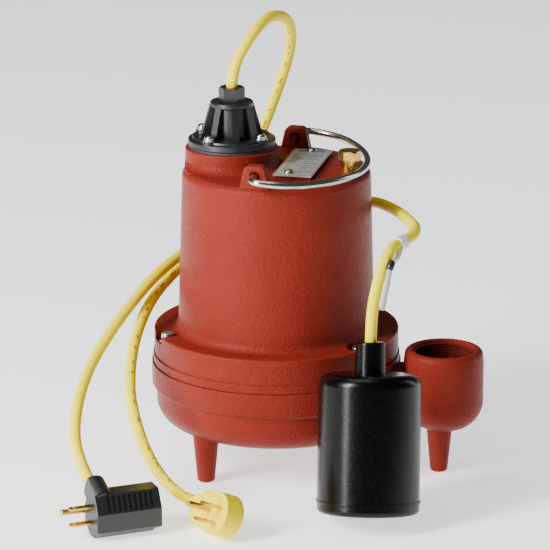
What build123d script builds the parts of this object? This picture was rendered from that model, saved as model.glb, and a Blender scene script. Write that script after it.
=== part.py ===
from build123d import *
import os
from math import acos, atan2, cos, degrees, hypot, pi, radians, sin, tan

# Submersible sump pump with a tethered float switch on a piggyback plug. Millimetres, +Z up.
# The origin is on the floor, under the middle of the pump's own box; the cords, plugs and
# float stand outside that box. +X runs from the shaft towards the discharge cup.

# ---------------------------------------------------------------- driving dimensions
VOLUTE_R = 98.9            # upper band of the volute
BOWL_R = 95.5
CUP_REACH = 135.4          # shaft axis to discharge axis
CUP_R = 31.5
THREAD_R = 24.1            # 1-1/2 in pipe thread
AXIS_X = -(CUP_REACH + CUP_R - VOLUTE_R) / 2
CUP_X = AXIS_X + CUP_REACH

BOWL_BOTTOM = 34.0
PLATE_BOTTOM = 84.0
PLATE_TOP = 91.0
FLANGE_TOP = 111.0
BODY_TOP = 240.0
TOP_ROUND = 6.0
TOP_WALL = 12.0              # housing roof, outside face to inside face
CUP_TOP = 101.2
FLANGE_R = 96.8
PLATE_R = 97.8
BODY_R_LOW = 77.8
BODY_R_HIGH = 73.8
MOTOR_BORE_R = 67.0

LEG_PITCH_R = 79.3
LEG_TOP_R = 10.0
LEG_FOOT_R = 6.8

BOLT_PITCH_R = 88.8
BOLT_ANGLES = (-150, -30, 90)
BOLT_R = 3.1
SPOT_R = 9.5
SPOT_FLOOR = 104.5

CAP_X = AXIS_X - 36.0
CAP_BOSS_R = 36.7
CAP_BOSS_TOP = 254.5
SKIRT_ROUND = 6.5           # flare at the foot of the cord-cap boss
CAP_R = 34.4
CAP_SCREW_PITCH_R = 28.5
CAP_SCREW_ANGLES = (-112.5, -22.5, 67.5, 157.5)
NUT_BOTTOM = 291.0
NUT_TOP = 302.0
NUT_FLATS = 18.0

CORD_D = 8.8
CORD_BORE_R = CORD_D / 2 + 0.1

WIRE_R = 2.9              # handle wire
HINGE_Z = 249.0
LUG_IN = 60.0
LUG_OUT = 70.0
HANDLE_HALF = 86.0
HANDLE_REACH = 70.5
HANDLE_DROP = 5.0          # degrees below level at rest
HOLE_GAP = 0.08
LUG_ROOT = 230.0           # inside the housing roof
LUG_TOP = 257.2
LUG_EDGE = 1.5

CHAMBER_R = 76.0
CHANNEL_R = 86.0            # widest part of the flow channel, below the bolt holes
CHAMBER_FLOOR = 42.0
EYE_R = 25.0
FIT = 0.05                 # gap between parts that are pressed or bolted together

LOWER_BEARING = dict(bore=10.0, outer=23.5, low=93.0, width=14.0, balls=9, ball_r=3.9)
UPPER_BEARING = dict(bore=7.5, outer=17.5, low=208.0, width=11.0, balls=8, ball_r=2.9)

# Float: middle of its base, the way its axis points, and its sizes along that axis.
FLOAT_AXIS = Vector(-0.043, 0.235, 0.971).normalized()
FLOAT_R = 39.0
FLOAT_EDGE = 4.0
FLOAT_LONG = 105.8
FLOAT_NECK_TOP = 129.8
FLOAT_NECK_R = 11.3
FLOAT_CAP_H = 10.4
FLOAT_WALL = 2.5
FLOAT_BASE_Z = (FLOAT_R - FLOAT_EDGE) * hypot(FLOAT_AXIS.X, FLOAT_AXIS.Y) + FLOAT_EDGE * (1 - FLOAT_AXIS.Z)
FLOAT_BASE = Vector(104.4 + AXIS_X, -131.6, FLOAT_BASE_Z)
FLOAT_PLANE = Plane(origin=FLOAT_BASE, x_dir=(1, 0, 0.0443), z_dir=FLOAT_AXIS)

# Piggyback plug: middle of its prong face at floor level, and the turn of its long axis.
PIGGY_FACE = Vector(-90.5 + AXIS_X, -209.0, 0)
PIGGY_TURN = 35.8
PIGGY_LONG = 51.0
PIGGY_MID = 17.4
BOSS_R = 10.2

# Power plug: middle of its prong face, the way its prongs point, and the way its cord leaves.
PLUG_FACE = Vector(0.8 + AXIS_X, -193.2, 21.2)
PLUG_AXIS = Vector(-0.663, -0.638, 0.393).normalized()
PLUG_SIDE = Vector(-0.666, 0.742, 0.080).normalized()
PLUG_R = 16.5
PLUG_DEEP = 17.0
PLUG_BOSS_R = 8.6
PLUG_BOSS_LONG = 30.0
SHOULDER_AT = (22.4, 5.0)    # along the cord's way out and across it
SHOULDER_R = 12.0
SHOULDER_DEEP = 14.0
BLADE_GAP = 12.7
BLADE_LONG = 17.5
PIN_OFFSET = 11.9
PIN_LONG = 20.5
PIN_R = 2.4
PIN_HOLE_R = PIN_R + 0.1
SLOT_WIDE, SLOT_TALL = 1.7, 6.5
PLUG_SHIFT = 4.0            # the power plug's prongs sit this far off the disc's middle
GROOVES = 9
GROOVE_FIRST, GROOVE_PITCH = 10.5, 4.2
PIGGY_BOSS_LONG = 19.5      # length of the piggyback's slanted cord boss

# ---------------------------------------------------------------- cord routes
# Hand-chosen points, from each cord's exit to its plug; the tube runs straight between
# tangent arcs at the points.
POWER_ROUTE = [
    (-70, 0, 295), (-70, 0, 316), (-58, 10.5, 340), (-49.5, 34.5, 352.5), (-42, 62, 347),
    (-41.5, 82, 330), (-47.5, 93, 304.5), (-62.5, 99.5, 264.5), (-78, 104, 227),
    (-98, 94, 185), (-114.5, 57, 150), (-129, 4, 136.5), (-132, -38.5, 125),
    (-129.5, -80.5, 108), (-121.5, -117, 86.5), (-112, -132, 66), (-102, -139.5, 46),
    (-88, -146, 28), (-71, -154.5, 18.5), (-55.5, -162, 16.5), (-42.3, -171.5, 19.2),
]
FLOAT_ROUTE = [
    (-128.7, -196.3, 38.1), (-137.7, -187.7, 46.6), (-149.5, -171, 64), (-155, -140, 85),
    (-154.5, -105, 103.5), (-146.5, -68.5, 122.5), (-137.5, -38.5, 138), (-129, -5.5, 149),
    (-118, 34.5, 156.5), (-93.5, 71, 168), (-54, 90, 180), (-6, 88, 191), (31.5, 63.5, 200),
    (55.5, 26.5, 204), (70.5, -7, 208), (87, -34.5, 206), (81, -55, 202), (76, -65.5, 201.5),
]
NECK_TOP = FLOAT_BASE + FLOAT_AXIS * FLOAT_NECK_TOP
DROP_ROUTE = [
    (73.3, -77.5, 198.8), (70.5, -87, 190), (67, -92.5, 175.5),
    tuple(NECK_TOP + FLOAT_AXIS * 19), tuple(NECK_TOP),
]


# ---------------------------------------------------------------- helpers
def turned(points, rounds=(), x=AXIS_X, y=0.0):
    """Solid of revolution about a vertical axis at (x, y) from (radius, height) points."""
    face = make_face(Polyline(*[(r, 0, z) for r, z in points], close=True))
    for index, radius in rounds:
        r, z = points[index]
        corner = face.vertices().sort_by_distance(Vector(r, 0, z))[0]
        face = fillet(corner, radius)
    return Pos(x, y, 0) * revolve(face, Axis.Z, 360)


def rod(radius, low, high, x=AXIS_X, y=0.0):
    """Upright cylinder between two heights."""
    return Pos(x, y, (low + high) / 2) * Cylinder(radius, high - low)


def ring(outer, inner, low, high, x=AXIS_X, y=0.0):
    """Upright tube between two heights."""
    return rod(outer, low, high, x, y) - rod(inner, low - 1, high + 1, x, y)


def around(x, pitch_r, angles):
    """Places on a circle about the vertical axis at x."""
    return [(x + pitch_r * cos(radians(a)), pitch_r * sin(radians(a))) for a in angles]


def along(start, end, radius):
    """Round bar from one point to another."""
    start, end = Vector(*start), Vector(*end)
    way = end - start
    base = Plane(origin=start, z_dir=way)
    return extrude(base * Circle(radius), way.length)


def corner_radii(route):
    """Arc radius at each inner point: 0.45 of the shorter run over the tangent of half the turn."""
    points = [Vector(*p) for p in route]
    radii = []
    for before, here, after in zip(points, points[1:], points[2:]):
        first, second = here - before, after - here
        half_turn = radians(first.get_angle(second)) / 2
        radii.append(0.45 * min(first.length, second.length) / tan(half_turn))
    return radii


def cord_tube(name, route):
    """Round tube of straight runs joined by tangent arcs; prints its radii and volume check."""
    radii = corner_radii(route)
    path = FilletPolyline(*route, radius=radii)
    start = Plane(origin=path @ 0, z_dir=path % 0)
    tube = sweep(start * Circle(CORD_D / 2), path=path)
    share = tube.volume / (pi * CORD_D ** 2 / 4 * path.length)
    print(name, "length", round(path.length), "radii", [round(r) for r in radii],
          "volume share", round(share, 4))
    return tube


def save(name, shape):
    """Write one sub-part as a compound of its solids."""
    shape = Compound(children=list(shape.solids())) if len(shape.solids()) > 1 else shape.solid()
    shape.label = name
    export_step(shape, f"parts/{name}.step")


# ---------------------------------------------------------------- castings
def motor_housing():
    """Cast shell: bolted flange, tapered body, cord-cap boss, handle lugs and bearing seat."""
    body = turned([(0, PLATE_TOP), (FLANGE_R, PLATE_TOP), (FLANGE_R, FLANGE_TOP),
                   (BODY_R_LOW, FLANGE_TOP), (BODY_R_HIGH, BODY_TOP), (0, BODY_TOP)],
                  rounds=[(4, TOP_ROUND), (3, 6.0), (2, 1.5)])
    boss = rod(CAP_BOSS_R, BODY_TOP - 30, CAP_BOSS_TOP, CAP_X)
    boss = fillet(boss.edges().group_by(Axis.Z)[-1], 1.2)
    body += boss & rod(BODY_R_HIGH + 0.4, BODY_TOP - 40, CAP_BOSS_TOP + 1)
    flare = SKIRT_ROUND + 1
    skirt = turned([(0, BODY_TOP - 3), (CAP_BOSS_R + flare, BODY_TOP - 3), (CAP_BOSS_R + flare, BODY_TOP),
                    (CAP_BOSS_R, BODY_TOP), (CAP_BOSS_R, BODY_TOP + flare), (0, BODY_TOP + flare)],
                   rounds=[(3, SKIRT_ROUND)], x=CAP_X)
    body += skirt & rod(BODY_R_HIGH - 2.0, BODY_TOP - 10, CAP_BOSS_TOP)
    for side in (-1, 1):
        body += lug(side)
    body += name_pad()
    body -= rod(MOTOR_BORE_R, PLATE_TOP - 1, BODY_TOP - TOP_WALL)
    body += ring(UPPER_BEARING["outer"] + 6, UPPER_BEARING["outer"] + FIT,
                 UPPER_BEARING["low"] - 1, BODY_TOP - TOP_WALL)
    body += rod(UPPER_BEARING["outer"] + 6, 221.0, BODY_TOP - 10)
    body -= rod(14.0, BODY_TOP - 20, CAP_BOSS_TOP + 1, CAP_X)
    for x, y in around(AXIS_X, BOLT_PITCH_R, BOLT_ANGLES):
        body -= rod(BOLT_R + 0.3, PLATE_TOP - 1, SPOT_FLOOR + 1, x, y)
        body -= rod(SPOT_R, SPOT_FLOOR, FLANGE_TOP + 16, x, y)
        out = degrees(atan2(y, x - AXIS_X))
        slot = Pos(x, y, (SPOT_FLOOR + FLANGE_TOP + 4) / 2) * Rot(0, 0, out)
        body -= slot * Pos(10, 0, 0) * Box(20, 2 * SPOT_R, FLANGE_TOP + 4 - SPOT_FLOOR)
    for x, y in around(CAP_X, CAP_SCREW_PITCH_R, CAP_SCREW_ANGLES):
        body -= rod(2.6, CAP_BOSS_TOP - 15, CAP_BOSS_TOP + 1, x, y)
    body -= rod(6.7, BODY_TOP - 13, BODY_TOP + 1, OIL_PLUG[0], OIL_PLUG[1])
    pit_x, pit_y = around(AXIS_X, 85.0, (-90,))[0]
    body -= rod(1.5, FLANGE_TOP - 2, FLANGE_TOP + 1, pit_x, pit_y)
    for x, y in NAME_SCREWS:
        body -= rod(1.65, BODY_TOP - 5, NAME_PAD_TOP + 1, x, y)
    return body


OIL_PLUG = (57.0 + AXIS_X, 6.5)
NAME_MID = (20.2 + AXIS_X, 4.7)
NAME_TURN = 2.3
NAME_WIDE, NAME_LONG = 30.5, 86.0
NAME_PAD_TOP = 242.6
NAME_TOP = 243.4
NAME_DOME_R = 4.1
NAME_SCREWS = [(17.5 + AXIS_X, -30.0), (18.5 + AXIS_X, 42.0)]


def lug(side):
    """Tapered handle ear with a round head and a hole flared at both mouths."""
    outline = make_face(Polyline((-14, LUG_ROOT), (14, LUG_ROOT), (8, LUG_TOP), (-8, LUG_TOP), close=True))
    tops = outline.vertices().group_by(Axis.Y)[-1]
    outline = fillet(tops, 5.0)
    thick = LUG_OUT - LUG_IN
    ear = Pos(AXIS_X, side * LUG_OUT, 0) * Rot(90, 0, 0) * extrude(outline, side * thick)
    rims = [edge for face in ear.faces().group_by(Axis.Y)[0] + ear.faces().group_by(Axis.Y)[-1]
            for edge in face.edges() if edge.center().Z > LUG_ROOT + 0.1]
    ear = fillet(rims, LUG_EDGE)
    mid = side * (LUG_IN + LUG_OUT) / 2
    ear -= Pos(AXIS_X, mid, HINGE_Z) * Rot(90, 0, 0) * Cylinder(WIRE_R + HOLE_GAP, thick + 2)
    for face_y, grow in ((side * LUG_IN, 1), (side * LUG_OUT, -1)):
        mouth = Pos(AXIS_X, face_y + side * grow, HINGE_Z) * Rot(-90 * side * grow, 0, 0)
        ear -= mouth * Cone(4.6, WIRE_R + HOLE_GAP, 2.4)
    return ear


def name_pad():
    """Raised cast pad under the nameplate."""
    pad = Pos(*NAME_MID, (BODY_TOP - 2 + NAME_PAD_TOP) / 2) * Rot(0, 0, NAME_TURN)
    return pad * Box(NAME_WIDE - 3, NAME_LONG - 3, NAME_PAD_TOP - BODY_TOP + 2)


def bearing_plate():
    """Thin casting between housing and volute that holds the lower bearing and the shaft seal."""
    low = LOWER_BEARING
    boss_r = low["outer"] + 7
    plate = turned([(0, PLATE_BOTTOM), (PLATE_R, PLATE_BOTTOM), (PLATE_R, PLATE_TOP),
                    (MOTOR_BORE_R - FIT, PLATE_TOP), (MOTOR_BORE_R - FIT, PLATE_TOP + 4),
                    (MOTOR_BORE_R - 6, PLATE_TOP + 4), (MOTOR_BORE_R - 8, PLATE_TOP),
                    (boss_r + 4, PLATE_TOP), (boss_r, PLATE_TOP + 18.5), (0, PLATE_TOP + 18.5)],
                   rounds=[(1, 0.6), (2, 0.6)])
    plate -= rod(low["outer"] + FIT, low["low"], PLATE_TOP + 20)
    plate -= ring(low["outer"] + 1.2, 20, 107.0, 108.3)
    plate -= rod(16.0, PLATE_BOTTOM - 1, 90.0)
    plate -= rod(10.6, 85, 95)
    plate -= ring(73.2, 69.8, PLATE_TOP - 2.4, PLATE_TOP + 1)
    for x, y in around(AXIS_X, BOLT_PITCH_R, BOLT_ANGLES):
        plate -= rod(BOLT_R + 0.3, PLATE_BOTTOM - 1, PLATE_TOP + 1, x, y)
    return plate


def volute():
    """Pump bowl on three legs, with the impeller chamber, suction eye and discharge cup."""
    bowl = turned([(0, BOWL_BOTTOM), (BOWL_R - 0.7, BOWL_BOTTOM), (BOWL_R, 63.0),
                   (VOLUTE_R, 66.0), (VOLUTE_R, PLATE_BOTTOM), (0, PLATE_BOTTOM)],
                  rounds=[(1, 19.0), (2, 1.2), (3, 1.5), (4, 0.6)])
    cup = turned([(0, 36.0), (CUP_R, 36.0), (CUP_R, 92.0), (30.4, CUP_TOP), (0, CUP_TOP)],
                 rounds=[(1, 24.0), (2, 8.0), (3, 4.2)], x=CUP_X)
    neck = Pos(AXIS_X + 97, 0, 63.9) * Box(44, 46, 40)
    neck = fillet(neck.edges().filter_by(Axis.X), 13)
    body = bowl + cup + neck
    places = around(AXIS_X, LEG_PITCH_R, (-120, 120)) + [(CUP_X - 2.8, 0)]
    for x, y in places:
        body += leg(x, y)
    body -= turned([(0, CHAMBER_FLOOR), (CHANNEL_R, CHAMBER_FLOOR), (CHANNEL_R, 61.0), (CHAMBER_R, 65.0),
                    (CHAMBER_R, PLATE_BOTTOM + 1), (0, PLATE_BOTTOM + 1)], rounds=[(1, 12.0), (2, 2.0)])
    body -= rod(EYE_R, BOWL_BOTTOM - 1, CHAMBER_FLOOR + 1)
    duct = Pos(AXIS_X + 98, 0, 62.5) * Box(60, 32, 27)
    body -= fillet(duct.edges().filter_by(Axis.X), 8)
    body -= turned([(0, 46.0), (21.0, 46.0), (21.0, 79.0), (THREAD_R, 79.0), (THREAD_R, CUP_TOP - 1.2),
                    (THREAD_R + 1.2, CUP_TOP), (THREAD_R + 1.2, CUP_TOP + 1), (0, CUP_TOP + 1)],
                   rounds=[(1, 10.0)], x=CUP_X)
    body -= ring(83.2, 79.8, PLATE_BOTTOM - 2.4, PLATE_BOTTOM + 1)
    for x, y in around(AXIS_X, BOLT_PITCH_R, BOLT_ANGLES):
        body -= rod(BOLT_R + FIT, 66.0, PLATE_BOTTOM + 1, x, y)
    return body


def leg(x, y):
    """Tapered round leg with a rounded foot, blended into the casting above it."""
    top = BOWL_BOTTOM + 16
    slope = (LEG_TOP_R - LEG_FOOT_R) / BOWL_BOTTOM
    return turned([(0, 0), (LEG_FOOT_R, 0), (LEG_FOOT_R + slope * top, top), (0, top)],
                  rounds=[(1, 2.5)], x=x, y=y)


# ---------------------------------------------------------------- fasteners and seals
def socket_bolt(x, y, head_low, head_h, head_r, shank_r, tip, socket_flats):
    """Round-headed bolt with a hex socket."""
    head = fillet(rod(head_r, head_low, head_low + head_h, x, y).edges().group_by(Axis.Z)[-1], 0.8)
    socket = Pos(x, y, head_low + head_h - 3) * extrude(RegularPolygon(socket_flats / 2, 6, major_radius=False), 4)
    return head - socket + rod(shank_r, tip, head_low + 0.5, x, y)


def flange_bolts():
    """The bolts that clamp the housing and the bearing plate to the volute."""
    places = around(AXIS_X, BOLT_PITCH_R, BOLT_ANGLES)
    return Compound(children=[socket_bolt(x, y, SPOT_FLOOR + 1.3, 6.0, 5.1, BOLT_R, 68.0, 4.8)
                              for x, y in places])


def flange_washers():
    """Washers under the flange bolts."""
    places = around(AXIS_X, BOLT_PITCH_R, BOLT_ANGLES)
    return Compound(children=[ring(6.8, BOLT_R + 0.1, SPOT_FLOOR, SPOT_FLOOR + 1.3, x, y) for x, y in places])


def pan_screw(x, y, low, head_r, head_h, shank_r, tip):
    """Cross-recessed pan-head screw."""
    head = rod(head_r, low, low + head_h, x, y)
    head = fillet(head.edges().group_by(Axis.Z)[-1], head_h * 0.6)
    for turn in (0, 90):
        head -= Pos(x, y, low + head_h) * Rot(0, 0, turn + 20) * Box(head_r * 1.1, 0.9, 2.0)
    return head + rod(shank_r, tip, low + 0.3, x, y)


def cap_screws():
    """Screws that hold the cord cap."""
    places = around(CAP_X, CAP_SCREW_PITCH_R, CAP_SCREW_ANGLES)
    return Compound(children=[pan_screw(x, y, 265.1, 4.25, 3.0, 2.5, 242.0) for x, y in places])


def cap_washers():
    """Washers under the cap screws."""
    places = around(CAP_X, CAP_SCREW_PITCH_R, CAP_SCREW_ANGLES)
    return Compound(children=[ring(5.2, 2.6, 264.1, 265.1, x, y) for x, y in places])


def nameplate_screws():
    """Drive screws in the nameplate."""
    screws = []
    for x, y in NAME_SCREWS:
        dome = rod(NAME_DOME_R, NAME_TOP, NAME_TOP + 2.4, x, y)
        dome = fillet(dome.edges().group_by(Axis.Z)[-1], 2.0)
        screws.append(dome + rod(1.6, BODY_TOP - 4, NAME_TOP + 0.2, x, y))
    return Compound(children=screws)


def nameplate():
    """Thin metal plate on the housing's pad."""
    plate = Box(NAME_WIDE, NAME_LONG, NAME_TOP - NAME_PAD_TOP)
    plate = fillet(plate.edges().filter_by(Axis.Z), 1.0)
    plate = Pos(*NAME_MID, (NAME_TOP + NAME_PAD_TOP) / 2) * Rot(0, 0, NAME_TURN) * plate
    for x, y in NAME_SCREWS:
        plate -= rod(1.7, NAME_PAD_TOP - 1, NAME_TOP + 1, x, y)
    return plate


def oil_plug():
    """Brass oil-fill plug: threaded shank, shoulder and hex head."""
    x, y = OIL_PLUG
    head = Pos(x, y, 247.2) * Rot(0, 0, 12) * extrude(RegularPolygon(8.0, 6, major_radius=False), 7.8)
    head &= turned([(0, 247.2), (8.4, 247.2), (9.3, 248.4), (9.3, 253.6), (8.0, 255.0), (0, 255.0)], x=x, y=y)
    return head + rod(6.6, 227.0, 247.3, x, y) + rod(7.3, 245.4, 247.3, x, y)


def seal_ring(middle_r, low):
    """Rubber ring lying in its groove."""
    return Pos(AXIS_X, 0, low + 1.15) * Torus(middle_r, 1.15)


# ---------------------------------------------------------------- cord entry
def cord_cap():
    """Moulded cord cap: flange, deck with screw bosses, ribs, neck and collar for the nut."""
    cap = turned([(0, 256.5), (CAP_R, 256.5), (CAP_R, 261.2), (31.2, 262.0), (30.6, 263.4),
                  (0, 263.4)], rounds=[(1, 1.0), (2, 1.0)], x=CAP_X)
    cap += turned([(0, 262), (15.8, 262), (14.2, 286.0), (17.0, 286.6), (17.0, NUT_BOTTOM), (0, NUT_BOTTOM)],
                  rounds=[(3, 1.6), (4, 1.6)], x=CAP_X)
    for k in range(8):
        angle = CAP_SCREW_ANGLES[0] + 45 * k
        rib = make_face(Polyline((10, 262.5), (24.7, 262.5), (17.0, 289.0), (10, 289.0), close=True))
        rib = Pos(0, 2.7, 0) * Rot(90, 0, 0) * extrude(rib, 5.4)
        cap += Pos(CAP_X, 0, 0) * Rot(0, 0, angle) * rib
    for x, y in around(CAP_X, CAP_SCREW_PITCH_R, CAP_SCREW_ANGLES):
        cap += rod(5.8, 260.5, 264.1, x, y)
    cap = cap & rod(CAP_R, 250, 300, CAP_X)
    cap -= turned([(0, 255), (15.0, 255), (11.5, 272.0), (8.5, 280.0), (8.5, 292.0), (0, 292.0)], x=CAP_X)
    for x, y in around(CAP_X, CAP_SCREW_PITCH_R, CAP_SCREW_ANGLES):
        cap -= rod(2.7, 250, 270, x, y)
        cap -= rod(5.4, 264.1, 269.0, x, y)
    return cap


def cap_gasket():
    """Rubber gasket between the cord cap and the housing boss."""
    gasket = ring(CAP_R - 0.3, 18.5, CAP_BOSS_TOP, 256.5, CAP_X)
    for x, y in around(CAP_X, CAP_SCREW_PITCH_R, CAP_SCREW_ANGLES):
        gasket -= rod(2.7, 250, 260, x, y)
    return gasket


def compression_nut():
    """Hex nut that squeezes the grommet round the cord."""
    nut = Pos(CAP_X, 0, NUT_BOTTOM) * Rot(0, 0, 8) * extrude(
        RegularPolygon(NUT_FLATS / 2, 6, major_radius=False), NUT_TOP - NUT_BOTTOM)
    nut &= turned([(0, NUT_BOTTOM), (10.6, NUT_BOTTOM), (10.6, NUT_TOP - 1.2), (9.2, NUT_TOP), (0, NUT_TOP)],
                  x=CAP_X)
    return nut - rod(CORD_BORE_R, NUT_BOTTOM - 1, NUT_TOP + 1, CAP_X)


def cord_grommet():
    """Rubber bush round the conductors, below the nut."""
    return ring(8.4, CORD_BORE_R, 281.0, NUT_BOTTOM, CAP_X)


def lead_wires():
    """The power cord's three conductors, down to the windings."""
    return Compound(children=[rod(1.2, 204.0, 295.0, x, y) for x, y in around(CAP_X, 2.4, (-90, 30, 150))])


def wire_connectors():
    """Crimp connectors on the conductors."""
    places = around(CAP_X, 2.4, (-90, 30, 150))
    heights = (222.0, 234.0, 246.0)
    return Compound(children=[ring(1.95, 1.25, z, z + 9, x, y) for (x, y), z in zip(places, heights)])


# ---------------------------------------------------------------- motor and rotor
def stator_core():
    """Laminated stack with winding slots."""
    core = ring(MOTOR_BORE_R - FIT, 36.0, 122.0, 182.0)
    for k in range(12):
        core -= Pos(AXIS_X, 0, 0) * Rot(0, 0, 30 * k) * Pos(46, 0, 152) * Box(16, 8, 62)
        core -= Pos(AXIS_X, 0, 0) * Rot(0, 0, 30 * k) * Pos(37, 0, 152) * Box(6, 2.4, 62)
    return core


def winding(low, high):
    """Rounded end turns of the copper winding."""
    return turned([(38.5, low), (62.0, low), (62.0, high), (38.5, high)],
                  rounds=[(0, 5.0), (1, 5.0), (2, 5.0), (3, 5.0)])


def slot_coils():
    """Copper in the stator slots."""
    coils = [Pos(AXIS_X, 0, 0) * Rot(0, 0, 30 * k) * Pos(46, 0, 152) * Box(15.6, 7.6, 59.8) for k in range(12)]
    return Compound(children=coils)


def thermal_overload():
    """Overload protector strapped to the upper winding."""
    case = Box(22, 12, 7)
    case = fillet(case.edges().filter_by(Axis.Z), 3.0)
    return Pos(AXIS_X + 50, 0, 205.6) * Rot(0, 0, 90) * case


def rotor_core():
    """Laminated rotor on the shaft."""
    return ring(35.2, 9.0 + FIT, 122.0, 182.0)


def rotor_end_rings():
    """Cast end rings of the rotor cage."""
    return Compound(children=[ring(34.0, 22.0, low, high) for low, high in ((114.0, 122.0), (182.0, 190.0))])


def shaft():
    """Stepped steel shaft from the impeller thread to the upper bearing."""
    return turned([(0, 50.0), (5.0, 50.0), (5.0, 60.0), (7.0, 60.0), (7.0, 79.0), (8.0, 79.0),
                   (8.0, 92.5), (10.0, 92.5), (10.0, 107.5), (9.0, 107.5), (9.0, 196.0), (10.5, 196.0),
                   (10.5, 207.8), (7.5, 207.8), (7.5, 219.0), (0, 219.0)],
                  rounds=[(14, 0.8)])


def race(bearing, outer):
    """Outer or inner race with its ball groove."""
    mid = (bearing["bore"] + bearing["outer"]) / 2
    land = bearing["ball_r"] * 0.55
    low, high = bearing["low"], bearing["low"] + bearing["width"]
    if outer:
        body = ring(bearing["outer"], mid + land, low, high)
    else:
        body = ring(mid - land, bearing["bore"] + 0.02, low, high)
    groove = Pos(AXIS_X, 0, (low + high) / 2) * Torus(mid, bearing["ball_r"] + 0.06)
    return body - groove


def balls(bearing):
    """Ball set."""
    mid = (bearing["bore"] + bearing["outer"]) / 2
    height = bearing["low"] + bearing["width"] / 2
    angles = [360 / bearing["balls"] * k for k in range(bearing["balls"])]
    places = around(AXIS_X, mid, angles)
    return Compound(children=[Pos(x, y, height) * Sphere(bearing["ball_r"]) for x, y in places])


def retaining_ring():
    """Split ring over the lower bearing."""
    body = ring(LOWER_BEARING["outer"] + 1.1, 20.5, 107.05, 108.25)
    return body - Pos(AXIS_X + 24, 0, 107.6) * Box(12, 7, 4)


def seal_seat():
    """Fixed ceramic seat of the shaft seal."""
    return ring(16.0 - FIT, 9.0, 84.6, 89.9)


def seal_rotary():
    """Turning carbon head of the shaft seal."""
    return ring(13.5, 8.0 + FIT, 80.6, 84.5)


def seal_spring():
    """Coil spring behind the turning seal head."""
    path = Helix(pitch=2.15, height=4.9, radius=10.6)
    wire = sweep(Plane(origin=path @ 0, z_dir=path % 0) * Circle(0.75), path=path)
    return Pos(AXIS_X, 0, 74.9) * wire


def impeller():
    """Semi-open vortex impeller with curved vanes under its disc."""
    wheel = turned([(0, 70.0), (56.0, 70.0), (56.0, 73.0), (13.0, 74.0), (0, 74.0)])
    wheel += rod(13.0, 60.0, 74.0)
    for k in range(5):
        wheel += Pos(AXIS_X, 0, 0) * Rot(0, 0, 72 * k) * vane()
    return wheel - rod(7.0 + FIT, 59.0, 75.0)


def vane():
    """One backward-curved vane."""
    outer = Pos(12, 22, 63) * Cylinder(30, 14.2)
    inner = Pos(12, 22, 63) * Cylinder(26.5, 16)
    window = Pos(32, 10, 63) * Box(46, 36, 20)
    blade = (outer - inner) & window
    return (blade & Pos(0, 0, 63) * Cylinder(55, 20)) - Pos(0, 0, 63) * Cylinder(11, 20)


def impeller_washer():
    """Washer under the impeller nut."""
    return ring(9.5, 5.1, 58.6, 59.9)


def impeller_nut():
    """Nut on the shaft's lower thread."""
    nut = Pos(AXIS_X, 0, 51.6) * extrude(RegularPolygon(8.0, 6, major_radius=False), 7.0)
    return nut - rod(5.0 + FIT, 50, 60)


# ---------------------------------------------------------------- handle
def handle():
    """Wire bail: two stubs through the lugs, tight corners, flank arcs and one nose arc."""
    corner, flank = 9.0, 45.0
    flank_y = HANDLE_HALF - flank
    span = HANDLE_REACH - corner - flank
    nose = (flank_y ** 2 + span ** 2) / (2 * span) + flank
    nose_x = HANDLE_REACH - nose
    meet = degrees(atan2(flank_y, corner - nose_x))
    stub = LUG_IN - 1.0
    path = Line((0, -stub, 0), (0, corner - HANDLE_HALF, 0))
    path += CenterArc((corner, corner - HANDLE_HALF, 0), corner, 180, 90)
    path += CenterArc((corner, -flank_y, 0), flank, -90, 90 - meet)
    path += CenterArc((nose_x, 0, 0), nose, -meet, 2 * meet)
    path += CenterArc((corner, flank_y, 0), flank, meet, 90 - meet)
    path += CenterArc((corner, HANDLE_HALF - corner, 0), corner, 90, 90)
    path += Line((0, HANDLE_HALF - corner, 0), (0, stub, 0))
    path = Wire(path.edges())
    start = Plane(origin=(0, -stub, 0), z_dir=(0, -1, 0))
    wire = sweep(start * Circle(WIRE_R), path=path)
    return Pos(AXIS_X, 0, HINGE_Z) * Rot(0, HANDLE_DROP, 0) * wire


# ---------------------------------------------------------------- float switch
def on_float(shape):
    """Put a shape made about the Z axis onto the float's own axis."""
    return FLOAT_PLANE.location * shape


def float_shell():
    """Hollow float body with round shoulders and the neck that grips the cord."""
    outside = turned([(0, FLOAT_CAP_H), (FLOAT_R, FLOAT_CAP_H), (FLOAT_R, FLOAT_LONG), (0, FLOAT_LONG)],
                     rounds=[(2, 9.0)], x=0)
    neck = turned([(0, FLOAT_LONG - 2), (FLOAT_NECK_R + 0.6, FLOAT_LONG - 2),
                   (FLOAT_NECK_R, FLOAT_NECK_TOP), (0, FLOAT_NECK_TOP)], rounds=[(2, 1.5)], x=0)
    inside = turned([(0, FLOAT_CAP_H - 1), (FLOAT_R - FLOAT_WALL, FLOAT_CAP_H - 1),
                     (FLOAT_R - FLOAT_WALL, FLOAT_LONG - FLOAT_WALL), (0, FLOAT_LONG - FLOAT_WALL)],
                    rounds=[(2, 7.0)], x=0)
    throat = rod(3.0, FLOAT_LONG - 5, FLOAT_NECK_TOP + 1, 0)
    return on_float(outside + neck - inside - throat)


def float_end_cap():
    """Welded end cap with its bead standing proud of the wall."""
    cap = turned([(0, 0), (FLOAT_R, 0), (FLOAT_R, FLOAT_CAP_H - 2.4), (FLOAT_R + 0.9, FLOAT_CAP_H - 1.8),
                  (FLOAT_R + 0.9, FLOAT_CAP_H), (FLOAT_R - FLOAT_WALL, FLOAT_CAP_H),
                  (FLOAT_R - FLOAT_WALL, FLOAT_WALL + 2), (0, FLOAT_WALL + 2)],
                 rounds=[(1, FLOAT_EDGE), (6, 2.0)], x=0)
    return on_float(cap)


BALL_R = 7.0
CASE_LOW = FLOAT_WALL + 2.0


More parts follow.
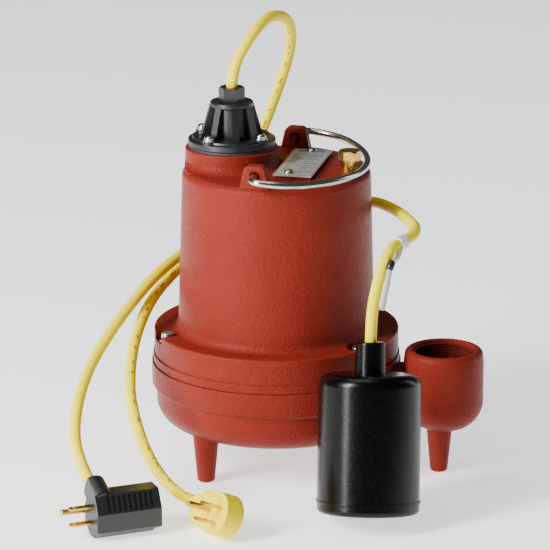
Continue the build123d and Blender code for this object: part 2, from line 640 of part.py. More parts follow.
def float_switch_case():
    """Tube inside the float that guides the steel ball."""
    case = rod(10.0, CASE_LOW, 80.0, 0) - rod(BALL_R + 0.6, CASE_LOW + 2.0, 70.0, 0)
    case -= rod(3.0, 65.0, 81.0, 0)
    return on_float(case)


def float_switch_ball():
    """Steel ball that rolls along the case as the float tips."""
    return on_float(Pos(0, 0, CASE_LOW + 2.0 + BALL_R + 0.3) * Sphere(BALL_R))


def float_contacts():
    """Contact block that the ball closes at the neck end of the case."""
    block = rod(BALL_R + 0.3, 58.0, 69.5, 0) - rod(2.0, 60.0, 71.0, 0)
    return on_float(block)


# ---------------------------------------------------------------- tie
def cable_tie():
    """Nylon band round the float cord just before its fold, with its lock head."""
    band_at, before = Vector(*FLOAT_ROUTE[-1]), Vector(*FLOAT_ROUTE[-2])
    way = (band_at - before).normalized()
    base = Plane(origin=band_at - way * 7.0, x_dir=Vector(0, 0, 1).cross(way), z_dir=way)
    band = extrude(base * (Circle(CORD_D / 2 + 1.3) - Circle(CORD_D / 2 + 0.05)), 4.8)
    head = base.location * Pos(0, -CORD_D / 2 - 3.0, 2.4) * Box(6.0, 4.4, 6.0)
    return band + (head - extrude(base.offset(-2) * Circle(CORD_D / 2 + 0.6), 10))


def tie_tail():
    """Free tail of the tie, hanging beside the drop of the cord."""
    return along((76.2, -90.5, 188.5), (72.4, -98.0, 159.0), 1.6)


# ---------------------------------------------------------------- plugs
def blade(length):
    """Flat blade along +Z, with its tip chamfered and pierced."""
    flat = Pos(0, 0, length / 2 - 3) * Box(6.3, 1.5, length + 6)
    flat = chamfer(flat.edges().group_by(Axis.Z)[-1].filter_by(Axis.Y), 1.6)
    return flat - Pos(0, 0, length - 4.0) * Rot(90, 0, 0) * Cylinder(1.5, 4)


def ground_pin(length):
    """Round ground pin along +Z with a domed tip."""
    pin = rod(PIN_R, -6, length, 0)
    return fillet(pin.edges().group_by(Axis.Z)[-1], 2.0)


PIGGY_PLANE = Plane(origin=PIGGY_FACE + Vector(0, 0, PIGGY_MID), x_dir=(0, 0, 1),
                    z_dir=(-cos(radians(PIGGY_TURN)), -sin(radians(PIGGY_TURN)), 0))
PIGGY_OUT = Vector(sin(radians(PIGGY_TURN)), -cos(radians(PIGGY_TURN)), 0)


def piggyback_body():
    """Eight-sided moulding with grip grooves, a slanted cord boss and sockets in its back."""
    half = [(5, 0), (15, 7), (15, 21), (7.5, 34.5), (-7.5, 34.5), (-15.5, 21), (-15.5, 7), (-5, 0)]
    outline = make_face(Polyline(*[(u, -v, 0) for u, v in reversed(half)], close=True))   # the plane's y points down
    flat = Plane(origin=PIGGY_FACE, x_dir=PIGGY_OUT, z_dir=(cos(radians(PIGGY_TURN)), sin(radians(PIGGY_TURN)), 0))
    body = flat.location * extrude(outline, PIGGY_LONG)
    body = chamfer(body.faces().sort_by(lambda f: abs((f.center() - PIGGY_FACE).dot(flat.z_dir)))[0].edges(), 0.6)
    cord_end = Vector(*FLOAT_ROUTE[0])
    way = (Vector(*FLOAT_ROUTE[1]) - cord_end).normalized()
    boss = extrude(Plane(origin=cord_end - way * PIGGY_BOSS_LONG, z_dir=way) * Circle(BOSS_R), PIGGY_BOSS_LONG)
    boss = fillet(boss.edges(), 2.5)
    body += boss & (flat.location * Pos(0, 0, 30) * Box(90, 160, 60))
    for side in (-1, 1):
        slope = PIGGY_OUT * 0.874 * side + Vector(0, 0, 0.486)
        for k in range(GROOVES):
            place = PIGGY_FACE + flat.z_dir * (GROOVE_FIRST + GROOVE_PITCH * k) + PIGGY_OUT * 11.25 * side + Vector(0, 0, 27.75)
            if side < 0 and k < 2:
                continue
            body -= Plane(origin=place, x_dir=flat.z_dir, z_dir=slope).location * Box(2.2, 11.5, 2.4)
    body -= flat.location * Pos(0, 0, PIGGY_LONG - 2) * Box(80, 9, 4.2)
    back = PIGGY_PLANE.location
    for side in (-1, 1):
        body -= back * Pos(side * BLADE_GAP / 2, 0, -PIGGY_LONG + 8) * Box(2.4, 7.2, 18)
        body -= back * Pos(side * BLADE_GAP / 2, 0, -4) * Box(SLOT_WIDE, SLOT_TALL, 9)
    body -= back * Pos(0, PIN_OFFSET, -PIGGY_LONG + 8) * Cylinder(2.7, 18)
    body -= back * Pos(0, PIN_OFFSET, -4) * Cylinder(PIN_HOLE_R, 9)
    return body


def piggyback_blades():
    """Brass blades of the piggyback plug."""
    return Compound(children=[PIGGY_PLANE.location * Pos(side * BLADE_GAP / 2, 0, 0) * Rot(0, 0, 90) * blade(BLADE_LONG)
                              for side in (-1, 1)])


def piggyback_pin():
    """Ground pin of the piggyback plug."""
    return PIGGY_PLANE.location * Pos(0, PIN_OFFSET, 0) * ground_pin(PIN_LONG)


def plug_plane():
    """Frame on the power plug's prong face: z along the prongs, x from blade to blade."""
    return Plane(origin=PLUG_FACE, x_dir=PLUG_SIDE.cross(PLUG_AXIS), z_dir=PLUG_AXIS)


def power_plug_body():
    """Round moulding with a cord boss that leaves at a right angle to the prongs."""
    disc = rod(PLUG_R, -PLUG_DEEP, 0, 0)
    disc = fillet(disc.edges().group_by(Axis.Z)[0], 3.5)
    disc = fillet(disc.edges().group_by(Axis.Z)[-1], 0.8)
    body = plug_plane().location * disc
    middle = PLUG_FACE - PLUG_AXIS * 8.2
    boss = extrude(Plane(origin=middle, z_dir=PLUG_SIDE) * Circle(PLUG_BOSS_R), PLUG_BOSS_LONG)
    boss = fillet(boss.edges().sort_by(lambda e: (e.center() - middle).dot(PLUG_SIDE))[-1], 3.0)
    body += boss
    body += plug_shoulder()
    for x, y, wide, tall in prong_places():
        body -= plug_plane().location * Pos(x, y, -3) * Box(wide, tall, 8)
    body -= plug_plane().location * Pos(0, PIN_OFFSET - PLUG_SHIFT, -3) * Cylinder(PIN_HOLE_R, 8)
    cord_end = Vector(*POWER_ROUTE[-1])
    way = Vector(*POWER_ROUTE[-2]) - cord_end
    body -= extrude(Plane(origin=cord_end, z_dir=way) * Circle(CORD_BORE_R), 40)
    return body


def plug_shoulder():
    """Flat lobe of the moulding on the cord's side, tangent to the disc."""
    away = hypot(*SHOULDER_AT)
    lean = acos((PLUG_R - SHOULDER_R) / away)
    way = atan2(SHOULDER_AT[1], SHOULDER_AT[0])
    near = [(PLUG_R * cos(way + a), PLUG_R * sin(way + a)) for a in (lean, -lean)]
    far = [(SHOULDER_AT[0] + SHOULDER_R * cos(way + a), SHOULDER_AT[1] + SHOULDER_R * sin(way + a))
           for a in (-lean, lean)]
    outline = make_face(Polyline(*near, *far, close=True)) + Pos(*SHOULDER_AT, 0) * Circle(SHOULDER_R)
    face = Plane(origin=PLUG_FACE, x_dir=PLUG_SIDE, z_dir=PLUG_AXIS)
    return extrude(face.location * outline, -SHOULDER_DEEP, dir=PLUG_AXIS)


def prong_places():
    """Blade slots in the plug face: x, y, and the slot's two widths."""
    return [(side * BLADE_GAP / 2, -PLUG_SHIFT, SLOT_WIDE, SLOT_TALL) for side in (-1, 1)]


def power_plug_blades():
    """Blades of the power plug."""
    return Compound(children=[plug_plane().location * Pos(x, y, 0) * Rot(0, 0, 90) * blade(BLADE_LONG)
                              for x, y, _, _ in prong_places()])


def power_plug_pin():
    """Ground pin of the power plug."""
    return plug_plane().location * Pos(0, PIN_OFFSET - PLUG_SHIFT, 0) * ground_pin(PIN_LONG)


# ---------------------------------------------------------------- write every sub-part
os.makedirs("parts", exist_ok=True)
SUBPARTS = {
    "motor_housing": motor_housing, "bearing_plate": bearing_plate, "volute": volute,
    "flange_bolts": flange_bolts, "flange_washers": flange_washers,
    "housing_seal_ring": lambda: seal_ring(71.5, PLATE_TOP - 2.35),
    "volute_seal_ring": lambda: seal_ring(81.5, PLATE_BOTTOM - 2.35),
    "cord_cap": cord_cap, "cap_gasket": cap_gasket, "cap_screws": cap_screws, "cap_washers": cap_washers,
    "compression_nut": compression_nut, "cord_grommet": cord_grommet,
    "lead_wires": lead_wires, "wire_connectors": wire_connectors,
    "handle": handle, "nameplate": nameplate, "nameplate_screws": nameplate_screws, "oil_plug": oil_plug,
    "stator_core": stator_core, "slot_coils": slot_coils,
    "upper_winding": lambda: winding(182.2, 202.0), "lower_winding": lambda: winding(102.5, 121.8),
    "thermal_overload": thermal_overload,
    "rotor_core": rotor_core, "rotor_end_rings": rotor_end_rings, "shaft": shaft,
    "upper_bearing_outer": lambda: race(UPPER_BEARING, True),
    "upper_bearing_inner": lambda: race(UPPER_BEARING, False),
    "upper_bearing_balls": lambda: balls(UPPER_BEARING),
    "upper_wave_washer": lambda: ring(17.0, 11.0, 219.1, 220.9),
    "lower_bearing_outer": lambda: race(LOWER_BEARING, True),
    "lower_bearing_inner": lambda: race(LOWER_BEARING, False),
    "lower_bearing_balls": lambda: balls(LOWER_BEARING),
    "retaining_ring": retaining_ring,
    "seal_seat": seal_seat, "seal_rotary": seal_rotary, "seal_spring": seal_spring,
    "impeller": impeller, "impeller_washer": impeller_washer, "impeller_nut": impeller_nut,
    "power_cord": lambda: cord_tube("power_cord", POWER_ROUTE),
    "power_plug_body": power_plug_body, "power_plug_blades": power_plug_blades,
    "power_plug_pin": power_plug_pin,
    "float_cord": lambda: cord_tube("float_cord", FLOAT_ROUTE),
    "float_cord_drop": lambda: cord_tube("float_cord_drop", DROP_ROUTE),
    "cable_tie": cable_tie, "tie_tail": tie_tail,
    "piggyback_body": piggyback_body, "piggyback_blades": piggyback_blades, "piggyback_pin": piggyback_pin,
    "float_shell": float_shell, "float_end_cap": float_end_cap, "float_switch_case": float_switch_case,
    "float_switch_ball": float_switch_ball, "float_contacts": float_contacts,
}
for name, make in SUBPARTS.items():
    save(name, make())
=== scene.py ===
import math

import bpy
from mathutils import Matrix, Vector


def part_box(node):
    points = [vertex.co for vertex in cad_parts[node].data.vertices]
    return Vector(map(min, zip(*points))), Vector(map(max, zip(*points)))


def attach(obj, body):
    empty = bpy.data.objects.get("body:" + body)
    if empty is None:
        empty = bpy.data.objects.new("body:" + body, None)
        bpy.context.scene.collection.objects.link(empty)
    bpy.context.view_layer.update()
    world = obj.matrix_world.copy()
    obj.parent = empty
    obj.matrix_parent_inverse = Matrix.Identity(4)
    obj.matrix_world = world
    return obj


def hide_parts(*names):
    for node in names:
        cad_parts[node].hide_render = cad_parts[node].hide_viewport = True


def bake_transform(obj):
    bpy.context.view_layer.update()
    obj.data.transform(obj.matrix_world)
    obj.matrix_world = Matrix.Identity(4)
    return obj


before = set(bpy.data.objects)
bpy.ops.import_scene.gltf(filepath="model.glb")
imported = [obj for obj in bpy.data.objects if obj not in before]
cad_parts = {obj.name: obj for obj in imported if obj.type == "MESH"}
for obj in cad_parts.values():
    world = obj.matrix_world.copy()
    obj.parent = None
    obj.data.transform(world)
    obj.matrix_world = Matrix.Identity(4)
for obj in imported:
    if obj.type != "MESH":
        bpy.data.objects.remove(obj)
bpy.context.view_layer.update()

# ------------------------------------------------------------------ camera
CAMERA_TURN = math.radians(14.1)
CAMERA_TILT = math.radians(16.2)
CAMERA_AWAY = 2.6
CAMERA_AIM = Vector((-0.0352, 0.0, 0.1515))

# ------------------------------------------------------------------ cords, metres
CORD_D = 0.0088
FOLD_PROUD = 0.00006           # the fold's radius over the cord's, so the two don't flicker
POWER_ROUTE = [
    (-0.070, 0, 0.295), (-0.070, 0, 0.316), (-0.058, 0.0105, 0.340), (-0.0495, 0.0345, 0.3525),
    (-0.042, 0.062, 0.347), (-0.0415, 0.082, 0.330), (-0.0475, 0.093, 0.3045),
    (-0.0625, 0.0995, 0.2645), (-0.078, 0.104, 0.227), (-0.098, 0.094, 0.185),
    (-0.1145, 0.057, 0.150), (-0.129, 0.004, 0.1365), (-0.132, -0.0385, 0.125),
    (-0.1295, -0.0805, 0.108), (-0.1215, -0.117, 0.0865), (-0.112, -0.132, 0.066),
    (-0.102, -0.1395, 0.046), (-0.088, -0.146, 0.028), (-0.071, -0.1545, 0.0185),
    (-0.0555, -0.162, 0.0165), (-0.0423, -0.1715, 0.0192),
]
FLOAT_ROUTE = [
    (-0.1287, -0.1963, 0.0381), (-0.1377, -0.1877, 0.0466), (-0.1495, -0.171, 0.064),
    (-0.155, -0.140, 0.085), (-0.1545, -0.105, 0.1035), (-0.1465, -0.0685, 0.1225),
    (-0.1375, -0.0385, 0.138), (-0.129, -0.0055, 0.149), (-0.118, 0.0345, 0.1565),
    (-0.0935, 0.071, 0.168), (-0.054, 0.090, 0.180), (-0.006, 0.088, 0.191),
    (0.0315, 0.0635, 0.200), (0.0555, 0.0265, 0.204), (0.0705, -0.007, 0.208),
    (0.087, -0.0345, 0.206), (0.081, -0.055, 0.202), (0.076, -0.0655, 0.2015),
]
PIVOT = Vector((0.0744, -0.0718, 0.2009))
NECK_AXIS = Vector((-0.043, 0.235, 0.971)).normalized()
NECK_TOP = Vector((0.0648, -0.1011, 0.1345))
DROP_ROUTE = [
    (0.0733, -0.0775, 0.1988), (0.0705, -0.087, 0.190), (0.067, -0.0925, 0.1755),
    tuple(NECK_TOP + NECK_AXIS * 0.019), tuple(NECK_TOP),
]
FOLD_ROUTE = [
    (0.0795, -0.0585, 0.2018), (0.076, -0.0655, 0.2015), tuple(PIVOT),
    (0.0733, -0.0775, 0.1988), (0.0712, -0.0847, 0.1926),
]

# ------------------------------------------------------------------ the pump's own places, metres
CUP = Vector((0.1014, 0.0, 0.0))
THREAD_R = 0.0241
THREAD_DEEP = 0.0018
THREAD_PITCH = 0.002209
THREAD_LOW, THREAD_HIGH = 0.0795, 0.0992


# ------------------------------------------------------------------ materials
SMOOTHEST = 0.03               # least roughness of any material
NOISE_LOW, NOISE_HIGH = 0.3, 0.7   # where most of a noise pattern lies
GLOSS_SHARE = 5                # gloss patches are this many times smaller than colour patches
PRINT_SCALE = 95.0             # noise features along the whole cord
PRINT_LEAST = 0.56             # noise above this is a dash
PRINT_SIDE, PRINT_HALF = 0.60, 0.035   # the row's place round the cord, as shares of a turn
PRINT_STRENGTH = 0.70
PRINT_INK = (0.16, 0.13, 0.03, 1)


def node_at(tree, kind, **inputs):
    """New shader node with some of its inputs set."""
    made = tree.nodes.new(kind)
    for key, value in inputs.items():
        made.inputs[key].default_value = value
    return made


def places(tree, stretch):
    """Object coordinates, stretched along each axis."""
    coordinates = tree.nodes.new("ShaderNodeTexCoord")
    mapping = node_at(tree, "ShaderNodeMapping", Scale=stretch)
    tree.links.new(coordinates.outputs["Object"], mapping.inputs["Vector"])
    return mapping.outputs["Vector"]


def grain(tree, where, kind, size):
    """Height pattern whose features are about size metres across."""
    if kind == "cells":
        pattern = node_at(tree, "ShaderNodeTexVoronoi", Scale=1 / size)
        pattern.feature = "SMOOTH_F1"
        tree.links.new(where, pattern.inputs["Vector"])
        return pattern.outputs["Distance"]
    pattern = node_at(tree, "ShaderNodeTexNoise", Scale=1 / size, Detail=3.0, Roughness=0.55)
    tree.links.new(where, pattern.inputs["Vector"])
    return pattern.outputs["Fac"]


def material(name, colour, rough, bumps=(), dark=0.8, patch=0.02, rough_spread=0.08,
             stretch=(1, 1, 1), **shader):
    """Principled material with mottled colour, uneven gloss and layered surface relief.
    Each bump is (kind, size, height), in metres."""
    made = bpy.data.materials.new(name)
    made.use_nodes = True
    tree = made.node_tree
    surface = tree.nodes["Principled BSDF"]
    for key, value in shader.items():
        surface.inputs[key.replace("_", " ")].default_value = value
    where = places(tree, stretch)
    mottle = grain(tree, where, "noise", patch)
    tint = tree.nodes.new("ShaderNodeMix")
    tint.data_type = "RGBA"
    tint.inputs["A"].default_value = (*[c * dark for c in colour], 1)
    tint.inputs["B"].default_value = (*[min(1, c * (2 - dark)) for c in colour], 1)
    tree.links.new(mottle, tint.inputs["Factor"])
    tree.links.new(tint.outputs["Result"], surface.inputs["Base Color"])
    gloss = node_at(tree, "ShaderNodeMapRange")
    gloss.inputs["From Min"].default_value = NOISE_LOW
    gloss.inputs["From Max"].default_value = NOISE_HIGH
    gloss.inputs["To Min"].default_value = max(SMOOTHEST, rough - rough_spread)
    gloss.inputs["To Max"].default_value = rough + rough_spread
    tree.links.new(grain(tree, where, "noise", patch / GLOSS_SHARE), gloss.inputs["Value"])
    tree.links.new(gloss.outputs["Result"], surface.inputs["Roughness"])
    normal = None
    for kind, size, height in bumps:
        relief = node_at(tree, "ShaderNodeBump", Strength=1.0, Distance=height)
        tree.links.new(grain(tree, where, kind, size), relief.inputs["Height"])
        if normal:
            tree.links.new(normal, relief.inputs["Normal"])
        normal = relief.outputs["Normal"]
    if normal:
        tree.links.new(normal, surface.inputs["Normal"])
    return made


RED = (0.178, 0.0165, 0.0100)
paint = material(
    "red_casting_paint", RED, 0.40, dark=0.86, patch=0.03, rough_spread=0.05,
    bumps=[("noise", 0.018, 0.0006), ("noise", 0.0014, 0.00042), ("cells", 0.0021, 0.00032)],
    Specular_IOR_Level=0.14, Specular_Tint=(1.0, 0.55, 0.50, 1))
# Threads in the cup's bore: the casting's red darkened to about half, painted shade inside the bore.
thread_paint_with_painted_shade = material(
    "thread_paint_with_painted_shade", (0.095, 0.012, 0.008), 0.26, dark=0.8, patch=0.006,
    bumps=[("noise", 0.002, 0.0002)])
stainless = material(
    "drawn_stainless", (0.50, 0.49, 0.48), 0.20, dark=0.93, patch=0.006, rough_spread=0.07,
    bumps=[("noise", 0.0006, 0.00002)], Metallic=1.0)
zinc = material(
    "zinc_plate", (0.50, 0.50, 0.48), 0.34, dark=0.85, patch=0.004,
    bumps=[("noise", 0.0008, 0.00004)], Metallic=1.0)
ground_steel = material(
    "ground_steel", (0.56, 0.56, 0.57), 0.20, dark=0.92, patch=0.003, stretch=(1, 1, 6),
    bumps=[("noise", 0.0006, 0.00002)], Metallic=1.0)
dark_steel = material(
    "black_oxide", (0.06, 0.06, 0.065), 0.38, dark=0.8, patch=0.004,
    bumps=[("noise", 0.0009, 0.00005)], Metallic=0.9)
lamination = material(
    "lamination_edges", (0.30, 0.29, 0.28), 0.45, dark=0.7, patch=0.004, stretch=(1, 1, 9),
    bumps=[("noise", 0.0045, 0.0003)], Metallic=0.85)
copper = material(
    "enamelled_copper", (0.55, 0.20, 0.08), 0.32, dark=0.65, patch=0.002, stretch=(1, 1, 3),
    bumps=[("noise", 0.0012, 0.0004)], Metallic=0.9, Coat_Weight=0.5, Coat_Roughness=0.2)
brass = material(
    "plain_brass", (0.62, 0.38, 0.08), 0.27, dark=0.88, patch=0.004,
    bumps=[("noise", 0.0008, 0.00003)], Metallic=1.0)
aluminium = material(
    "rolled_aluminium", (0.64, 0.65, 0.69), 0.44, dark=0.76, patch=0.005,
    bumps=[("noise", 0.0025, 0.00006)], Metallic=0.8)
ink = material(
    "plate_ink", (0.16, 0.155, 0.145), 0.55, dark=0.75, patch=0.003,
    bumps=[("noise", 0.0008, 0.00003)])
iron = material(
    "grey_iron", (0.21, 0.20, 0.19), 0.5, dark=0.75, patch=0.008,
    bumps=[("noise", 0.0018, 0.0004)], Metallic=0.8)
cap_plastic = material(
    "cap_plastic", (0.008, 0.009, 0.010), 0.36, dark=0.85, patch=0.008,
    bumps=[("noise", 0.0011, 0.00012)])
plug_vinyl = material(
    "plug_vinyl", (0.007, 0.008, 0.009), 0.42, dark=0.8, patch=0.006,
    bumps=[("noise", 0.0010, 0.00010)])
float_plastic = material(
    "float_plastic", (0.0004, 0.0006, 0.001), 0.26, dark=0.8, patch=0.012, rough_spread=0.04,
    bumps=[("noise", 0.030, 0.00025), ("noise", 0.0016, 0.00001)], Specular_IOR_Level=0.20)
rubber = material(
    "seal_rubber", (0.02, 0.02, 0.021), 0.6, dark=0.8, patch=0.006,
    bumps=[("noise", 0.0012, 0.0001)])
YELLOW_GLOSS = (1.0, 0.85, 0.2, 1)
plug_yellow = material(
    "yellow_plug_vinyl", (0.86, 0.70, 0.001), 0.42, dark=0.93, patch=0.010,
    bumps=[("noise", 0.0012, 0.00010)], Specular_IOR_Level=0.12, Specular_Tint=YELLOW_GLOSS)
nylon = material(
    "tie_nylon", (0.74, 0.75, 0.70), 0.32, dark=0.93, patch=0.004,
    bumps=[("noise", 0.0010, 0.00005)], Subsurface_Weight=0.25)
# Tie tail: the tie's white nylon made grey, painted shade on the tail hanging below the fold.
tie_nylon_painted_shade = material(
    "tie_tail_nylon_painted_shade", (0.40, 0.40, 0.38), 0.40, dark=0.85, patch=0.004,
    bumps=[("noise", 0.0010, 0.00005)])
dark_nylon = material(
    "tie_head_nylon", (0.010, 0.010, 0.011), 0.35, dark=0.8, patch=0.003,
    bumps=[("noise", 0.0009, 0.00005)])
ceramic = material(
    "ground_ceramic", (0.78, 0.75, 0.68), 0.25, dark=0.95, patch=0.004,
    bumps=[("noise", 0.0006, 0.00002)])
carbon = material(
    "lapped_carbon", (0.025, 0.025, 0.027), 0.30, dark=0.8, patch=0.003,
    bumps=[("noise", 0.0007, 0.00003)])
phenolic = material(
    "phenolic", (0.10, 0.05, 0.03), 0.42, dark=0.8, patch=0.004,
    bumps=[("noise", 0.0010, 0.00006)])


def jacket_material():
    """Yellow cord jacket with a row of blank dashes printed along one side."""
    made = material(
        "yellow_cord_jacket", (0.90, 0.74, 0.0), 0.42, dark=0.94, patch=0.012,
        bumps=[("noise", 0.0030, 0.00012), ("noise", 0.0009, 0.00004)],
        Specular_IOR_Level=0.12, Specular_Tint=YELLOW_GLOSS)
    tree = made.node_tree
    surface = tree.nodes["Principled BSDF"]
    plain = surface.inputs["Base Color"].links[0].from_socket
    coordinates = tree.nodes.new("ShaderNodeTexCoord")
    split = tree.nodes.new("ShaderNodeSeparateXYZ")
    tree.links.new(coordinates.outputs["UV"], split.inputs["Vector"])
    dashes = node_at(tree, "ShaderNodeTexNoise", Scale=PRINT_SCALE, Detail=1.0)
    dashes.noise_dimensions = "1D"
    tree.links.new(split.outputs["X"], dashes.inputs["W"])
    inked = tree.nodes.new("ShaderNodeMath")
    inked.operation = "GREATER_THAN"
    inked.inputs[1].default_value = PRINT_LEAST
    tree.links.new(dashes.outputs["Fac"], inked.inputs[0])
    in_row = tree.nodes.new("ShaderNodeMath")
    in_row.operation = "COMPARE"
    in_row.inputs[1].default_value = PRINT_SIDE
    in_row.inputs[2].default_value = PRINT_HALF
    tree.links.new(split.outputs["Y"], in_row.inputs[0])
    both = tree.nodes.new("ShaderNodeMath")
    both.operation = "MULTIPLY"
    tree.links.new(inked.outputs["Value"], both.inputs[0])
    tree.links.new(in_row.outputs["Value"], both.inputs[1])
    faded = tree.nodes.new("ShaderNodeMath")
    faded.operation = "MULTIPLY"
    faded.inputs[1].default_value = PRINT_STRENGTH
    tree.links.new(both.outputs["Value"], faded.inputs[0])
    printed = tree.nodes.new("ShaderNodeMix")
    printed.data_type = "RGBA"
    printed.inputs["B"].default_value = PRINT_INK
    tree.links.new(faded.outputs["Value"], printed.inputs["Factor"])
    tree.links.new(plain, printed.inputs["A"])
    tree.links.new(printed.outputs["Result"], surface.inputs["Base Color"])
    return made


jacket = jacket_material()

FINISH = [
    (paint, ["motor_housing", "volute", "bearing_plate"]),
    (stainless, ["handle", "cap_screws", "cap_washers", "nameplate_screws", "seal_spring",
                 "upper_wave_washer", "float_switch_ball"]),
    (zinc, ["flange_bolts", "flange_washers"]),
    (ground_steel, ["shaft", "upper_bearing_inner", "upper_bearing_outer", "upper_bearing_balls",
                    "lower_bearing_inner", "lower_bearing_outer", "lower_bearing_balls"]),
    (dark_steel, ["retaining_ring"]),
    (lamination, ["stator_core", "rotor_core"]),
    (copper, ["upper_winding", "lower_winding", "slot_coils", "lead_wires"]),
    (brass, ["oil_plug", "impeller_nut", "impeller_washer", "piggyback_blades", "piggyback_pin",
             "power_plug_blades", "power_plug_pin", "float_contacts"]),
    (aluminium, ["nameplate", "rotor_end_rings"]),
    (iron, ["impeller"]),
    (cap_plastic, ["cord_cap", "compression_nut"]),
    (plug_vinyl, ["piggyback_body"]),
    (float_plastic, ["float_shell", "float_end_cap"]),
    (rubber, ["cap_gasket", "cord_grommet", "housing_seal_ring", "volute_seal_ring"]),
    (plug_yellow, ["power_plug_body"]),
    (nylon, ["wire_connectors"]),
    (ceramic, ["seal_seat"]),
    (carbon, ["seal_rotary"]),
    (phenolic, ["thermal_overload", "float_switch_case"]),
    (tie_nylon_painted_shade, ["tie_tail", "cable_tie"]),
    (jacket, ["power_cord", "float_cord", "float_cord_drop"]),
]
for finish, nodes in FINISH:
    for node in nodes:
        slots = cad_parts[node].data.materials
        slots.clear()
        slots.append(finish)


# ------------------------------------------------------------------ shapes
def linked(name, data, finish):
    """New object for a mesh or curve, with its material."""
    made = bpy.data.objects.new(name, data)
    bpy.context.scene.collection.objects.link(made)
    data.materials.append(finish)
    return made


SPLINE_STEPS = 10              # mesh steps between two points of a route


def spline_curve(name, route):
    """Curve of one smooth open spline that has the route's points as its control points."""
    data = bpy.data.curves.new(name, "CURVE")
    data.dimensions = "3D"
    data.resolution_u = SPLINE_STEPS
    spline = data.splines.new("NURBS")
    spline.points.add(len(route) - 1)
    for point, place in zip(spline.points, route):
        point.co = (*place, 1)
    spline.order_u = 3
    spline.use_endpoint_u = True
    return data


def centreline(route):
    """The points that the route's own spline passes through."""
    data = spline_curve("measure", route)
    carrier = bpy.data.objects.new("measure", data)
    bpy.context.scene.collection.objects.link(carrier)
    bpy.context.view_layer.update()
    line = bpy.data.meshes.new_from_object(carrier)
    found = [vertex.co.copy() for vertex in line.vertices]
    bpy.data.objects.remove(carrier)
    bpy.data.meshes.remove(line)
    bpy.data.curves.remove(data)
    return found


def mesh_piece(name, corners, faces, finish, smooth=True):
    """Mesh object from corners and faces."""
    data = bpy.data.meshes.new(name)
    data.from_pydata([tuple(c) for c in corners], [], faces)
    data.validate()
    if smooth:
        data.polygons.foreach_set("use_smooth", [True] * len(data.polygons))
    return linked(name, data, finish)


def swept(name, line, radii, finish, sides=24):
    """Closed round sweep along a line, with a radius at each of its points."""
    corners, faces = [], []
    side = None
    for index, place in enumerate(line):
        before, after = line[max(index - 1, 0)], line[min(index + 1, len(line) - 1)]
        way = (after - before).normalized()
        if side is None:
            side = way.orthogonal().normalized()
        side = (side - way * side.dot(way)).normalized()
        other = way.cross(side)
        for k in range(sides):
            turn = 2 * math.pi * k / sides
            corners.append(place + (side * math.cos(turn) + other * math.sin(turn)) * radii[index])
    for index in range(len(line) - 1):
        for k in range(sides):
            a, b = index * sides + k, index * sides + (k + 1) % sides
            faces.append((a, b, b + sides, a + sides))
    faces.append(tuple(reversed(range(sides))))
    faces.append(tuple(range((len(line) - 1) * sides, len(line) * sides)))
    return mesh_piece(name, corners, faces, finish)


def bar_corners(low, high, turn=0.0, about=Vector((0, 0, 0))):
    """Corners of an upright box, turned about a vertical line."""
    spun = Matrix.Rotation(turn, 3, "Z")
    every = [Vector((x, y, z)) for z in (low[2], high[2])
             for x, y in ((low[0], low[1]), (high[0], low[1]), (high[0], high[1]), (low[0], high[1]))]
    return [about + spun @ (c - about) for c in every]


BAR_FACES = [(3, 2, 1, 0), (4, 5, 6, 7), (0, 1, 5, 4), (1, 2, 6, 5), (2, 3, 7, 6), (3, 0, 4, 7)]


def bars(name, boxes, finish):
    """One mesh of several small boxes, each given by its eight corners."""
    corners, faces = [], []
    for box in boxes:
        start = len(corners)
        corners += box
        faces += [tuple(start + k for k in face) for face in BAR_FACES]
    return mesh_piece(name, corners, faces, finish, smooth=False)


# ------------------------------------------------------------------ cords
CORD_BEVEL = 6


def cord_piece(name, route):
    """Round cord jacket along the route's spline."""
    data = spline_curve(name, route)
    data.bevel_depth = CORD_D / 2
    data.bevel_resolution = CORD_BEVEL
    data.use_fill_caps = True
    return linked(name, data, jacket)


power_jacket = cord_piece("power_cord_jacket", POWER_ROUTE)
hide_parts("power_cord")
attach(power_jacket, "pump_body")

float_jacket = cord_piece("float_cord_jacket", list(reversed(FLOAT_ROUTE)))
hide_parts("float_cord")
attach(float_jacket, "pump_body")

drop_jacket = cord_piece("float_drop_jacket", list(reversed(DROP_ROUTE)))
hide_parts("float_cord_drop")
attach(drop_jacket, "float")

fold_line = centreline(FOLD_ROUTE)
fold = swept("cord_fold", fold_line, [CORD_D / 2 + FOLD_PROUD] * len(fold_line), jacket)
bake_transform(fold)

# ------------------------------------------------------------------ tie on the float cord
TIE_WIDE = 0.0092              # from edge to edge
TIE_THICK = 0.0012
TIE_BACK = 0.006               # from the cord's end to the middle of the band
TIE_PROFILE = [                # along the band and out from the cord, as shares of its sizes
    (-0.50, 0.6), (-0.46, 1.0), (-0.40, 1.12), (-0.3, 1.0), (0.3, 1.0), (0.40, 1.12),
    (0.46, 1.0), (0.50, 0.6),
]


def tie_band():
    """Nylon band round the float cord, with a lip at each edge."""
    line = centreline(list(reversed(FLOAT_ROUTE)))
    way = (line[4] - line[0]).normalized()
    middle = line[0] + way * TIE_BACK
    line_on = [middle + way * (TIE_WIDE * along) for along, _ in TIE_PROFILE]
    radii = [CORD_D / 2 + TIE_THICK * out for _, out in TIE_PROFILE]
    return swept("tie_band", line_on, radii, nylon, sides=32)


band = tie_band()
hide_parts("cable_tie")
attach(band, "pump_body")

